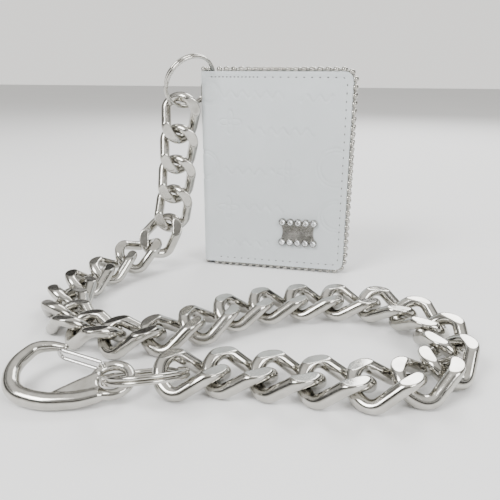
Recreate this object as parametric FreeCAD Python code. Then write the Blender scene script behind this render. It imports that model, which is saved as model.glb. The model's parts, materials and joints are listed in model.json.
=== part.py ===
import FreeCAD, Part

import math
import os

V = FreeCAD.Vector

# All lengths in millimetres, all angles in degrees.
# Working frame: X along the closed wallet from the spine fold to the open edge, Y from the front
# cover to the back cover, Z up, with the spine's outer face on X = 0 and the front face on Y = 0.
# The whole object is moved by FRAME_SHIFT at the end, so that the origin is the middle of its footprint.
FRAME_SHIFT = V(-41.343, 69.653, 0.045)

# --- chain link: a twisted curb link of round wire with filed shoulders ---
LINK_PITCH = 17.2
WIRE = 5.4
WIRE_PLAY = 0.5          # gap between two wires that bear on each other
LINK_WIDTH = 21.0
LINK_TWIST = -40.0       # turn of each end bar about the link's length
BAR_HALF = 3.2           # half length of the end bar's corner polygon
SHOULDER_RUN = 4.6       # how far the shoulder corner sits behind the end bar
SHOULDER_TWIST = 0.8     # share of the twist reached at the shoulder
FILED_HALF = 5.0         # half thickness left after the shoulders are filed flat
CORNER_SHARE = 0.49      # share of each polygon side taken by a corner arc

# --- how the chain lies: heading, elevation and roll of the hanging links ---
HANG_START = V(-11.1, -1.7, 85.5)
HANG_POSES = (
    (199.0, -84.5, -98.0),
    (199.0, -84.5, -98.0),
    (204.0, -83.5, -90.0),
    (219.0, -80.0, -70.0),
    (235.0, -48.0, -42.0),
    (237.0, -16.0, -18.0),
)
# turn of each following link along the ground
GROUND_TURNS = (10, 11, 22, 20, 21, 23, 28, 27, 10, -9, -10, -12, -12,
                -27, -27, -28, -30, -30, -29, -15, 0, 7, 15)
GROUND_HEIGHT = 7.0      # height of the link centres above the ground
HEIGHT_GAIN = 0.4        # share of a height error taken up by the next link
MAX_SLOPE = 0.17         # rise of a link per length along it

# --- split rings: two close coils of round wire ---
RING_WIRE = 1.7
RING_COIL_STEP = 1.62
RING_RADIUS = 14.5       # centre line of the second ring
RING_PLAY = 0.4
HOOK_RING_CENTRE = V(22.6, -137.7, 8.3)
HOOK_RING_HEADING = 23.5
HOOK_RING_TILT = 26.4

# --- wallet ---
WIDTH = 82.5
HEIGHT = 108.0
DEPTH = 16.0
BASE = 2.45              # height of the leather's lower edge above the ground
TOP = BASE + HEIGHT
CORNER = 4.5
LEATHER = 2.2
SPINE_REACH = 5.0        # how far the spine piece wraps on to each cover
COVER_START = 5.4
LINING = 0.85
LAYER_GAP = 0.05
PANEL = 1.0
SLOT_CENTRE = V(1.1, 8.0, 98.6)
SLOT_WIDTH = 6.4
SLOT_LENGTH = 12.5
EYELET_RIM = 2.0
EYELET_DEPTH = 0.9

# --- ball trim on the edges ---
BEAD = 3.1
BEAD_PITCH = 4.15
BEAD_WIRE = 0.9
BEAD_OUT = 0.9           # distance of the bead centres outside the leather's edge
BEAD_PLAY = 0.05

# --- ornament plate with ten set stones ---
PLATE_CENTRE = V(56.5, 0.0, BASE + 21.0)
PLATE_WIDTH = 21.6
PLATE_HEIGHT = 16.0
PLATE_THICK = 1.2
STONE_SPACING = 4.45
STONE_ROW = 5.9          # height of each row above and below the plate's centre
BEZEL = 4.4
BEZEL_THICK = 2.0
STONE = 3.3
STONE_PROUD = 0.7

# --- snap hook: U to the left, W across, N out of its plane ---
HOOK_EYE_CENTRE = V(10.55, -139.35, 6.2)
HOOK_HEADING = 180.4
HOOK_TILT = 18.9
HOOK_LIFT = 3.5
EYE_RADIUS = 6.4
EYE_WIRE = 3.8
HOOK_WIRE = 6.0
HOOK_PATH = ((2.6, -7.3), (8.0, -10.4), (20.0, -13.6), (32.5, -11.8),
             (38.0, -2.0), (34.5, 8.8), (28.0, 10.4))
NOSE_TIP = (23.6, 10.5)
NOSE_RADIUS = 1.5
WEB_PATH = ((16.5, -10.8), (5.8, -0.4))
WEB_WIRE = 5.2
GATE_PIVOT = (5.2, 4.7)
GATE_TIP = (24.2, 7.6)
GATE_WIRE = 1.5
GATE_HALF = 2.35         # half distance between the gate's two legs
LUG_HALF = 1.2
LUG_RADIUS = 2.0
PIN_HOLE = 1.66


def turned(vector, axis, degrees):
    return FreeCAD.Rotation(axis, degrees).multVec(vector)


def unit(vector):
    result = V(vector)
    result.normalize()
    return result


def frame_placement(origin, x, y, z):
    return FreeCAD.Placement(FreeCAD.Matrix(x.x, y.x, z.x, origin.x, x.y, y.y, z.y, origin.y,
                                            x.z, y.z, z.z, origin.z, 0, 0, 0, 1))


def box(x0, x1, y0, y1, z0, z1):
    return Part.makeBox(x1 - x0, y1 - y0, z1 - z0, V(x0, y0, z0))


def corner_arc(before, at, after, share, radius=None):
    """Start, end, centre, radius, turn and way back of the arc that rounds one corner of a polygon."""
    back, ahead = before - at, after - at
    reach = share * min(back.Length, ahead.Length)
    back, ahead = unit(back), unit(ahead)
    turn = math.pi - back.getAngle(ahead)
    if radius is not None:
        reach = min(reach, radius * math.tan(turn / 2))
    radius = reach / math.tan(turn / 2)
    centre = at + unit(back + ahead) * math.hypot(radius, reach)
    return at + back * reach, at + ahead * reach, centre, radius, turn, back


def round_tube(corners, diameter, closed, share=CORNER_SHARE, radii=None):
    """A tube along a polygon with rounded corners, as exact cylinders and torus parts."""
    count = len(corners)
    pieces = []
    inner = range(count) if closed else range(1, count - 1)
    arcs = [corner_arc(corners[i - 1], corners[i], corners[(i + 1) % count], share, radii and radii[i])
            for i in inner]
    for start, end, centre, radius, turn, back in arcs:
        e1, e2 = unit(start - centre), back * -1.0
        part = Part.makeTorus(radius, diameter / 2, V(0, 0, 0), V(0, 0, 1), -180, 180, math.degrees(turn))
        part.Placement = frame_placement(centre, e1, e2, e1.cross(e2))
        pieces.append(part)
    stops = [(arc[0], arc[1]) for arc in arcs]
    if closed:
        runs = [(stops[i][1], stops[(i + 1) % count][0]) for i in range(count)]
    else:
        ends = [(corners[0], corners[0])] + stops + [(corners[-1], corners[-1])]
        runs = [(ends[i][1], ends[i + 1][0]) for i in range(len(ends) - 1)]
    for start, end in runs:
        if (end - start).Length > 1e-4:
            pieces.append(Part.makeCylinder(diameter / 2, (end - start).Length, start, end - start))
    tube = pieces[0].multiFuse(pieces[1:])
    return tube.Solids[0]


# ---------------------------------------------------------------- chain

def link_polygon():
    half_length = (LINK_PITCH + WIRE + WIRE_PLAY) / 2
    half_width = (LINK_WIDTH - WIRE) / 2
    twist = math.radians(LINK_TWIST)
    bar = V(half_length, BAR_HALF * math.cos(twist), BAR_HALF * math.sin(twist))
    shoulder = V(half_length - SHOULDER_RUN, half_width, half_width * math.tan(twist * SHOULDER_TWIST))

    def flip(p, sx, sy, sz):
        return V(p.x * sx, p.y * sy, p.z * sz)

    half = [bar, shoulder, flip(shoulder, -1, 1, -1), flip(bar, -1, 1, -1)]
    return half + [flip(p, -1, -1, 1) for p in half]


def link_solid():
    ring = round_tube(link_polygon(), WIRE, True)
    return ring.common(box(-30, 30, -30, 30, -FILED_HALF, FILED_HALF)).Solids[0]


def link_axes(heading, elevation, roll):
    h, e = math.radians(heading), math.radians(elevation)
    x = V(math.cos(e) * math.cos(h), math.cos(e) * math.sin(h), math.sin(e))
    z = V(-math.sin(e) * math.cos(h), -math.sin(e) * math.sin(h), math.cos(e))
    z = turned(z, x, roll)
    return x, z.cross(x), z


def end_bar(axes, end):
    """Direction of a link's end bar; end is +1 for the leading bar and -1 for the trailing bar."""
    t = math.radians(LINK_TWIST)
    return axes[1] * math.cos(t) + axes[2] * (math.sin(t) * end)


def between(axes, following):
    """Direction from one link's leading bar to the next link's trailing bar, square to both bars."""
    middle = unit(end_bar(axes, 1).cross(end_bar(following, -1)))
    return middle if middle.dot(axes[0] + following[0]) > 0 else middle * -1.0


def next_centre(centre, axes, following):
    half = (LINK_PITCH + WIRE + WIRE_PLAY) / 2
    return centre + axes[0] * half - between(axes, following) * (WIRE + WIRE_PLAY) + following[0] * half


def chain_frames():
    """Centre and axes of every link, from the split ring on the wallet to the hook."""
    half = (LINK_PITCH + WIRE + WIRE_PLAY) / 2
    centre, axes = V(HANG_START), link_axes(*HANG_POSES[0])
    frames = [(centre, axes)]
    for pose in HANG_POSES[1:]:
        following = link_axes(*pose)
        centre = next_centre(centre, axes, following)
        axes = following
        frames.append((centre, axes))
    heading = HANG_POSES[-1][0]
    for turn in GROUND_TURNS:
        heading += turn
        slope = 0.0
        for _ in range(4):
            middle = between(axes, link_axes(heading, math.degrees(math.asin(slope)), 0.0))
            rise = (WIRE + WIRE_PLAY) * middle.z + HEIGHT_GAIN * (GROUND_HEIGHT - centre.z)
            slope = max(-MAX_SLOPE, min(MAX_SLOPE, rise / (2 * half)))
        following = link_axes(heading, math.degrees(math.asin(slope)), 0.0)
        centre = next_centre(centre, axes, following)
        axes = following
        frames.append((centre, axes))
    return frames


# ---------------------------------------------------------------- split rings

def circle_through(a, b, c):
    """Centre, radius and normal of the circle through three points."""
    u, w = b - a, c - a
    n = u.cross(w)
    centre = a + ((n.cross(u)) * w.dot(w) + (w.cross(n)) * u.dot(u)) * (0.5 / n.dot(n))
    return centre, (a - centre).Length, unit(n)


def wallet_ring_circle():
    """The ring goes through the spine's slot, over the front cover and under the first link's bar."""
    centre, axes = chain_frames()[0]
    half = (LINK_PITCH + WIRE + WIRE_PLAY) / 2
    hang = centre - axes[0] * (half - WIRE / 2 - RING_PLAY - RING_WIRE)
    return circle_through(SLOT_CENTRE, V(6.2, 1.6, 113.7), hang)


def hook_ring_circle():
    h, t = math.radians(HOOK_RING_HEADING), math.radians(HOOK_RING_TILT)
    across = V(math.cos(h), math.sin(h), 0)
    away = V(-math.sin(h) * math.cos(t), math.cos(h) * math.cos(t), -math.sin(t))
    return HOOK_RING_CENTRE, RING_RADIUS, unit(across.cross(away))


def split_ring(circle):
    centre, radius, normal = circle
    coils = [Part.makeTorus(radius, RING_WIRE / 2, centre + normal * (RING_COIL_STEP / 2 * side), normal)
             for side in (-1, 1)]
    return coils[0].fuse(coils[1]).Solids[0]


# ---------------------------------------------------------------- wallet

def panel(x0, x1, y0, y1, z0, z1, radius, rounded_left=False):
    """A flat panel in the XZ plane with rounded corners on its open-edge side."""
    body = box(x0, x1, y0, y1, z0, z1)
    edges = []
    for edge in body.Edges:
        a, b = edge.Vertexes[0].Point, edge.Vertexes[-1].Point
        if abs(a.x - b.x) < 1e-6 and abs(a.z - b.z) < 1e-6:
            if a.x > x1 - 1e-6 or rounded_left:
                edges.append(edge)
    return body.makeFillet(radius, edges)


def trim_corners(y):
    out = BEAD_OUT
    return [V(11.0, y, TOP + out), V(WIDTH + out, y, TOP + out), V(WIDTH + out, y, BASE - out),
            V(7.6, y, BASE - out)]


def trim_path(y):
    """Bead centres and directions along the top, the open edge and the bottom of one cover."""
    corners = trim_corners(y)
    radius = CORNER + BEAD_OUT
    runs = []
    start = corners[0]
    for i in (1, 2):
        a, b, centre, r, turn, back = corner_arc(corners[i - 1], corners[i], corners[i + 1], 0.49, radius)
        runs.append((start, a, None, 0.0))
        runs.append((a, b, centre, turn))
        start = b
    runs.append((start, corners[3], None, 0.0))
    points, left = [], 0.0
    for a, b, centre, turn in runs:
        length = (b - a).Length if centre is None else (a - centre).Length * turn
        at = left
        while at <= length:
            if centre is None:
                points.append((a + (b - a) * (at / length), b - a))
            else:
                arm = turned(a - centre, V(0, 1, 0), math.degrees(at / (a - centre).Length))
                points.append((centre + arm, V(0, 1, 0).cross(arm)))
            at += BEAD_PITCH
        left = at - length
    return points


def beads(points, wire):
    """Balls threaded on a wire; each ball's poles lie on the wire."""
    balls = [Part.makeSphere(BEAD / 2, point, along) for point, along in points]
    return wire.multiFuse(balls).Solids[0]


def cover_trim(y):
    radius = CORNER + BEAD_OUT
    points = trim_path(y)
    corners = trim_corners(y)
    corners[3] = points[-1][0]
    wire = round_tube(corners, BEAD_WIRE, False, radii=[None, radius, radius, None])
    return beads(points, wire)


def cover_groove(y):
    """The channel in a cover's edge that seats the ball trim."""
    radius = CORNER + BEAD_OUT
    corners = trim_corners(y)
    corners[0] = corners[0] - V(3, 0, 0)
    corners[3] = corners[3] - V(4, 0, 0)
    return round_tube(corners, BEAD + 2 * BEAD_PLAY, False, radii=[None, radius, radius, None])


def spine_trim(z):
    points = [(V(1.5, 8.0 + BEAD_PITCH * step, z), V(0, 1, 0)) for step in (-1, 0, 1)]
    wire = Part.makeCylinder(BEAD_WIRE / 2, 2 * BEAD_PITCH, points[0][0], V(0, 1, 0))
    return beads(points, wire)


def oblong(width, length, x0, x1, centre):
    """A rounded slot shape whose long side is upright, between two planes of constant X."""
    straight = length - width
    y, low, high = centre.y, centre.z - straight / 2, centre.z + straight / 2
    ends = [Part.makeCylinder(width / 2, x1 - x0, V(x0, y, z), V(1, 0, 0)) for z in (low, high)]
    middle = box(x0, x1, y - width / 2, y + width / 2, low, high)
    return middle.multiFuse(ends).removeSplitter()


def spine_leather():
    outer = box(0, SPINE_REACH, 0, DEPTH, BASE, TOP)
    inner = box(LEATHER, SPINE_REACH + 1, LEATHER, DEPTH - LEATHER, BASE - 1, TOP + 1)

    def upright(shape, x):
        return [e for e in shape.Edges if abs(e.Vertexes[0].Point.x - x) < 1e-6
                and abs(e.Vertexes[-1].Point.x - x) < 1e-6
                and abs(e.Vertexes[0].Point.z - e.Vertexes[-1].Point.z) > 50]

    outer = outer.makeFillet(4.0, upright(outer, 0.0))
    inner = inner.makeFillet(2.0, upright(inner, LEATHER))
    body = outer.cut(inner)
    rim = 2 * EYELET_RIM
    body = body.cut(oblong(SLOT_WIDTH, SLOT_LENGTH, -1, LEATHER + 1, SLOT_CENTRE))
    body = body.cut(oblong(SLOT_WIDTH + rim, SLOT_LENGTH + rim, -1, EYELET_DEPTH, SLOT_CENTRE))
    for z in (TOP + BEAD_OUT, BASE - BEAD_OUT):
        body = body.cut(Part.makeCylinder(BEAD / 2 + BEAD_PLAY, 16.0, V(1.5, 0.0, z), V(0, 1, 0)))
    return body.Solids[0]


def spine_eyelet():
    rim = oblong(SLOT_WIDTH + 2 * EYELET_RIM - 0.04, SLOT_LENGTH + 2 * EYELET_RIM - 0.04,
                 0.1, EYELET_DEPTH, SLOT_CENTRE)
    hole = oblong(SLOT_WIDTH, SLOT_LENGTH, -1, LEATHER, SLOT_CENTRE)
    return rim.cut(hole).Solids[0]


def cover_parts(side):
    """Leather, lining, panels and trim of one cover; side is 1 for the front and -1 for the back."""
    def depth(a, b):
        return (a, b) if side > 0 else (DEPTH - b, DEPTH - a)

    name = "front" if side > 0 else "back"
    y0, y1 = depth(0.0, LEATHER)
    trim_y = depth(1.6, 1.6)[0]
    leather = panel(COVER_START, WIDTH, y0, y1, BASE, TOP, CORNER).cut(cover_groove(trim_y))
    parts = {name + "_cover_leather": leather.Solids[0], name + "_ball_trim": cover_trim(trim_y)}
    y0, y1 = depth(LEATHER + LAYER_GAP, LEATHER + LAYER_GAP + LINING)
    parts[name + "_lining"] = panel(9.0, WIDTH - 2.4, y0, y1, BASE + 2.4, TOP - 2.4, 3.0, True)
    start = LEATHER + LINING + 2 * LAYER_GAP
    heights = ((80.0, "upper_pocket"), (52.0, "lower_pocket"))
    for height, label in heights:
        y0, y1 = depth(start, start + PANEL)
        low = BASE + 3.4
        parts[name + "_" + label] = panel(12.0, WIDTH - 3.4, y0, y1, low, low + height, 3.0, True)
        start += PANEL + LAYER_GAP
    return parts, start


def window_frame(y0, y1):
    frame = panel(16.0, WIDTH - 8.0, y0, y1, BASE + 6.0, BASE + 50.0, 3.0, True)
    opening = panel(22.0, WIDTH - 14.0, y0 - 1, y1 + 1, BASE + 12.0, BASE + 44.0, 2.0, True)
    return frame.cut(opening).Solids[0]


def ornament_plate():
    c = PLATE_CENTRE
    w, h = PLATE_WIDTH / 2, PLATE_HEIGHT / 2
    plate = box(c.x - w, c.x + w, -PLATE_THICK, 0.0, c.z - h + 1.6, c.z + h - 1.6)
    scoops = [Part.makeCylinder(6.0, 10, V(c.x + side * (w + 5.2), -5, c.z), V(0, 1, 0))
              for side in (-1, 1)]
    plate = plate.cut(scoops[0]).cut(scoops[1])
    bezels = [Part.makeCylinder(BEZEL / 2, BEZEL_THICK, p, V(0, -1, 0)) for p in stone_centres()]
    plate = plate.multiFuse(bezels)
    seats = [Part.makeCylinder(STONE / 2 + 0.02, BEZEL_THICK, p + V(0, -0.7, 0), V(0, -1, 0))
             for p in stone_centres()]
    return plate.cut(seats[0].multiFuse(seats[1:])).Solids[0]


def stone_centres():
    return [PLATE_CENTRE + V(STONE_SPACING * (i - 2), 0, row * STONE_ROW)
            for row in (1, -1) for i in range(5)]


def stone(point):
    girdle = Part.makeCylinder(STONE / 2, BEZEL_THICK - 0.72, point + V(0, -0.72, 0), V(0, -1, 0))
    crown = Part.makeCone(STONE / 2, STONE / 3.4, STONE_PROUD, point + V(0, -BEZEL_THICK, 0), V(0, -1, 0))
    return girdle.fuse(crown).Solids[0]


# ---------------------------------------------------------------- snap hook

def hook_axes():
    h, t, lift = (math.radians(a) for a in (HOOK_HEADING, HOOK_TILT, HOOK_LIFT))
    flat = V(math.cos(h), math.sin(h), 0)
    away = V(math.sin(h), -math.cos(h), 0)
    across = away * math.cos(t) + V(0, 0, math.sin(t))
    out = unit(across.cross(flat))
    if out.z < 0:
        out = out * -1.0
    along = flat * math.cos(lift) + out * math.sin(lift)
    return along, across, unit(along.cross(across))


def hook_placement():
    along, across, normal = hook_axes()
    return frame_placement(HOOK_EYE_CENTRE, along, across, normal)


def hook_body():
    path = [V(u, w, 0) for u, w in HOOK_PATH]
    body = round_tube(path, HOOK_WIRE, False, share=0.46)
    tip, last = V(*NOSE_TIP, 0), path[-1]
    nose = Part.makeCone(HOOK_WIRE / 2, NOSE_RADIUS, (tip - last).Length, last, tip - last)
    web_start, web_end = (V(u, w, 0) for u, w in WEB_PATH)
    web = Part.makeCylinder(WEB_WIRE / 2, (web_end - web_start).Length, web_start, web_end - web_start)
    pieces = [nose, Part.makeSphere(NOSE_RADIUS, tip), web,
              Part.makeSphere(HOOK_WIRE / 2, path[0]), Part.makeSphere(WEB_WIRE / 2, web_end),
              Part.makeTorus(EYE_RADIUS, EYE_WIRE / 2)]
    body = body.multiFuse(pieces)
    hole = Part.makeCylinder(EYE_RADIUS - EYE_WIRE / 2, 20, V(0, 0, -10))
    body = body.cut(hole)
    pivot = V(*GATE_PIVOT, 0)
    for z0 in (LUG_HALF, -10.0 - LUG_HALF):
        for angle in (12.0, -2.0, -16.0):
            reach = box(-1.4, 14.0, -1.5, 1.5, z0, z0 + 10.0)
            reach.Placement = FreeCAD.Placement(pivot, FreeCAD.Rotation(V(0, 0, 1), angle))
            body = body.cut(reach)
        body = body.cut(Part.makeCylinder(1.8, 10.0, pivot + V(0, 0, z0)))
    lug = Part.makeCylinder(LUG_RADIUS, 2 * LUG_HALF, pivot - V(0, 0, LUG_HALF))
    body = body.fuse(lug.cut(hole))
    body = body.cut(Part.makeCylinder(PIN_HOLE / 2, 10, pivot - V(0, 0, 5)))
    return max(body.Solids, key=lambda s: s.Volume)


def hook_gate():
    a, b = GATE_PIVOT, GATE_TIP
    stop = 0.45
    corners = [V(*a, stop), V(*a, GATE_HALF), V(*b, GATE_HALF)]
    corners += [V(x, y, -z) for x, y, z in reversed(corners)]
    return round_tube(corners, GATE_WIRE, False, radii=[None, 0.9, 2.2, 2.2, 0.9, None])


# ---------------------------------------------------------------- assembly

def nodes():
    parts = {"spine_leather": spine_leather(), "spine_eyelet": spine_eyelet(),
             "spine_top_balls": spine_trim(TOP + BEAD_OUT),
             "spine_bottom_balls": spine_trim(BASE - BEAD_OUT)}
    for side in (1, -1):
        cover, start = cover_parts(side)
        parts.update(cover)
    parts["bill_divider"] = panel(12.0, WIDTH - 3.4, DEPTH - start - PANEL, DEPTH - start,
                                  BASE + 3.4, TOP - 6.0, 3.0, True)
    start += PANEL + LAYER_GAP
    parts["card_window_frame"] = window_frame(DEPTH - start - PANEL, DEPTH - start)
    parts["ornament_plate"] = ornament_plate()
    for i, point in enumerate(stone_centres()):
        parts["stone_%02d" % (i + 1)] = stone(point)
    parts["wallet_split_ring"] = split_ring(wallet_ring_circle())
    link = link_solid()
    for i, (centre, axes) in enumerate(chain_frames()):
        piece = link.copy()
        piece.Placement = frame_placement(centre, *axes)
        parts["chain_link_%02d" % (i + 1)] = piece
    parts["hook_split_ring"] = split_ring(hook_ring_circle())
    for name, shape in (("hook_body", hook_body()), ("hook_gate", hook_gate())):
        shape.Placement = hook_placement()
        parts[name] = shape
    for shape in parts.values():
        shape.Placement = FreeCAD.Placement(FRAME_SHIFT, FreeCAD.Rotation()).multiply(shape.Placement)
    return parts


def main():
    os.makedirs("parts", exist_ok=True)
    for name, shape in nodes().items():
        shape.exportStep("parts/%s.step" % name)


if __name__ == "__main__":
    main()
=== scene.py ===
"""Looks of a chain wallet: white leather, ball trim, a set ornament and a heavy nickel curb chain."""

from __future__ import annotations

import json
import logging
import math
from dataclasses import dataclass
from enum import Enum
from typing import Callable, Sequence

import bmesh
import bpy
import numpy as np
from mathutils import Matrix, Vector

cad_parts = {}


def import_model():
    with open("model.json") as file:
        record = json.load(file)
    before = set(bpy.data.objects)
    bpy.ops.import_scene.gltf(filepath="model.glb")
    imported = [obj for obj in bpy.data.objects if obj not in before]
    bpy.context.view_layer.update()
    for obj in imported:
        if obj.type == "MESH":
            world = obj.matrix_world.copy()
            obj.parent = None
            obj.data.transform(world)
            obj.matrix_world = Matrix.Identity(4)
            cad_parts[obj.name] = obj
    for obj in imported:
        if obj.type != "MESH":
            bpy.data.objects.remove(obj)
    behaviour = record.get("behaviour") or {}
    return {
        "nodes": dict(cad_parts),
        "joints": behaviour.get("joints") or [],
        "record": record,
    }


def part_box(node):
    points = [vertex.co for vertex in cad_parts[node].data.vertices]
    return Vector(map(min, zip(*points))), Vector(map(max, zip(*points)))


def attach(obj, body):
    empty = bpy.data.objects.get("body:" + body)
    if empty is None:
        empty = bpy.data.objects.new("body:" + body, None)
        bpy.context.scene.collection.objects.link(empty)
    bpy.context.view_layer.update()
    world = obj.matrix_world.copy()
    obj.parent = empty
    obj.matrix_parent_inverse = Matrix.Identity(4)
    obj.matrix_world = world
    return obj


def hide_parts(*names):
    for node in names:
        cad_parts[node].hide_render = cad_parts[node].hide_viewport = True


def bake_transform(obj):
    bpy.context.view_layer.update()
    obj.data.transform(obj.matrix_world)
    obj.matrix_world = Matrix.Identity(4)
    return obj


MM = 0.001
LOG = logging.getLogger("chain_wallet")


class Side(Enum):
    """Which half of the wallet a piece belongs to."""

    FRONT = 1
    BACK = -1

    @property
    def word(self) -> str:
        """The word used in node and body names."""
        return self.name.lower()

    @property
    def body(self) -> str:
        """The body that the cover on this side rides on."""
        return f"{self.word}_cover"


class Motif(Enum):
    """Generic figures pressed into the leather."""

    ROSETTE = "rosette"
    WAVE = "wave"
    RINGS = "rings"


# ------------------------------------------------------------------ finishes


class Shader:
    """Short helpers for building a material's node tree."""

    def __init__(self, name: str) -> None:
        """Start a material with one Principled shader.

        Args:
            name: The material's name.
        """
        self.material = bpy.data.materials.new(name)
        self.material.use_nodes = True
        self.tree = self.material.node_tree
        self.base = self.tree.nodes["Principled BSDF"]
        self.coords = self.tree.nodes.new("ShaderNodeTexCoord")

    def set(self, **values: object) -> None:
        """Set sockets of the Principled shader; underscores stand for spaces in their names."""
        for name, value in values.items():
            self.base.inputs[name.replace("_", " ")].default_value = value

    def noise(self, scale: float, detail: float = 3.0,
              stretch: Sequence[float] = (1, 1, 1)) -> bpy.types.Node:
        """Noise on object coordinates.

        Args:
            scale: Waves per metre.
            detail: Octaves of finer noise.
            stretch: Scale along each axis.

        Returns:
            The noise node.
        """
        mapping = self.tree.nodes.new("ShaderNodeMapping")
        mapping.inputs["Scale"].default_value = stretch
        node = self.tree.nodes.new("ShaderNodeTexNoise")
        node.inputs["Scale"].default_value = scale
        node.inputs["Detail"].default_value = detail
        self.tree.links.new(self.coords.outputs["Object"], mapping.inputs["Vector"])
        self.tree.links.new(mapping.outputs["Vector"], node.inputs["Vector"])
        return node

    def cells(self, scale: float) -> bpy.types.Node:
        """Voronoi cells on object coordinates, as leather grain or cast texture."""
        node = self.tree.nodes.new("ShaderNodeTexVoronoi")
        node.inputs["Scale"].default_value = scale
        self.tree.links.new(self.coords.outputs["Object"], node.inputs["Vector"])
        return node

    def rough(self, source: bpy.types.NodeSocket, low: float, high: float) -> None:
        """Drive the roughness from low to high by a value of 0.3 to 0.7."""
        node = self.tree.nodes.new("ShaderNodeMapRange")
        node.inputs["From Min"].default_value = 0.3
        node.inputs["From Max"].default_value = 0.7
        node.inputs["To Min"].default_value = low
        node.inputs["To Max"].default_value = high
        self.tree.links.new(source, node.inputs["Value"])
        self.tree.links.new(node.outputs["Result"], self.base.inputs["Roughness"])

    def tint(self, source: bpy.types.NodeSocket, dark: Sequence[float], light: Sequence[float]) -> None:
        """Colour the surface between two tones by a 0 to 1 value."""
        ramp = self.tree.nodes.new("ShaderNodeValToRGB")
        ramp.color_ramp.elements[0].position, ramp.color_ramp.elements[1].position = 0.3, 0.7
        ramp.color_ramp.elements[0].color = (*dark, 1.0)
        ramp.color_ramp.elements[1].color = (*light, 1.0)
        self.tree.links.new(source, ramp.inputs["Fac"])
        self.tree.links.new(ramp.outputs["Color"], self.base.inputs["Base Color"])

    def bumps(self, layers: Sequence[tuple[bpy.types.NodeSocket, float, float]]) -> None:
        """Stack bump layers.

        Args:
            layers: For each layer its height source, its depth in metres and its strength.
        """
        before = None
        for source, depth, strength in layers:
            node = self.tree.nodes.new("ShaderNodeBump")
            node.inputs["Distance"].default_value = depth
            node.inputs["Strength"].default_value = strength
            self.tree.links.new(source, node.inputs["Height"])
            if before is not None:
                self.tree.links.new(before, node.inputs["Normal"])
            before = node.outputs["Normal"]
        self.tree.links.new(before, self.base.inputs["Normal"])


@dataclass(frozen=True)
class MetalFinish:
    """Plated metal, polished by hand, with faint ripples and hairline wear."""

    name: str
    light: tuple[float, float, float] = (0.56, 0.548, 0.515)
    dark: tuple[float, float, float] = (0.42, 0.408, 0.372)
    roughness: tuple[float, float] = (0.10, 0.20)
    ripple: float = 0.0004
    hairline: float = 0.00002

    def make(self) -> bpy.types.Material:
        """Build the material."""
        shader = Shader(self.name)
        shader.set(Metallic=1.0)
        patches = shader.noise(160.0, 4.0)
        shader.tint(patches.outputs["Fac"], self.dark, self.light)
        worn = shader.noise(900.0, 5.0, (1.0, 1.0, 3.0))
        shader.rough(worn.outputs["Fac"], *self.roughness)
        waves = shader.noise(110.0, 1.0)
        lines = shader.noise(2600.0, 2.0, (1.0, 0.15, 1.0))
        shader.bumps([(waves.outputs["Fac"], self.ripple, 0.35), (lines.outputs["Fac"], self.hairline, 0.25)])
        return shader.material


@dataclass(frozen=True)
class LeatherFinish:
    """Finished leather with a fine closed grain and a slight mottle."""

    name: str
    light: tuple[float, float, float]
    dark: tuple[float, float, float]
    grain: float = 1500.0
    grain_depth: float = 0.00007
    roughness: tuple[float, float] = (0.42, 0.55)

    def make(self) -> bpy.types.Material:
        """Build the material."""
        shader = Shader(self.name)
        shader.set(Specular_IOR_Level=0.45, Sheen_Weight=0.04)
        mottle = shader.noise(60.0, 6.0)
        shader.tint(mottle.outputs["Fac"], self.dark, self.light)
        fine = shader.noise(700.0, 4.0)
        shader.rough(fine.outputs["Fac"], *self.roughness)
        pores, creases = shader.cells(self.grain), shader.noise(320.0, 5.0)
        shader.bumps([(pores.outputs["Distance"], self.grain_depth, 0.5),
                      (creases.outputs["Fac"], 2.5 * self.grain_depth, 0.4)])
        return shader.material


@dataclass(frozen=True)
class CrystalFinish:
    """Foil-backed cut glass: each facet mirrors a different part of the room."""

    name: str = "foiled_crystal"
    colour: tuple[float, float, float] = (0.93, 0.95, 0.97)

    def make(self) -> bpy.types.Material:
        """Build the material."""
        shader = Shader(self.name)
        shader.set(Metallic=0.85, Coat_Weight=0.6, Coat_Roughness=0.02)
        sparkle = shader.noise(1400.0, 1.0)
        shader.tint(sparkle.outputs["Fac"], tuple(0.8 * c for c in self.colour), self.colour)
        shader.rough(sparkle.outputs["Fac"], 0.03, 0.09)
        return shader.material


@dataclass(frozen=True)
class PlainFinish:
    """A matt finish with a slight mottle, for thread, fabric and the studio floor."""

    name: str
    light: tuple[float, float, float]
    dark: tuple[float, float, float]
    scale: float = 900.0
    roughness: float = 0.8

    def make(self) -> bpy.types.Material:
        """Build the material."""
        shader = Shader(self.name)
        shader.set(Roughness=self.roughness, Specular_IOR_Level=0.2)
        weave = shader.noise(self.scale, 3.0)
        shader.tint(weave.outputs["Fac"], self.dark, self.light)
        shader.bumps([(weave.outputs["Fac"], 0.00008, 0.4)])
        return shader.material


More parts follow.
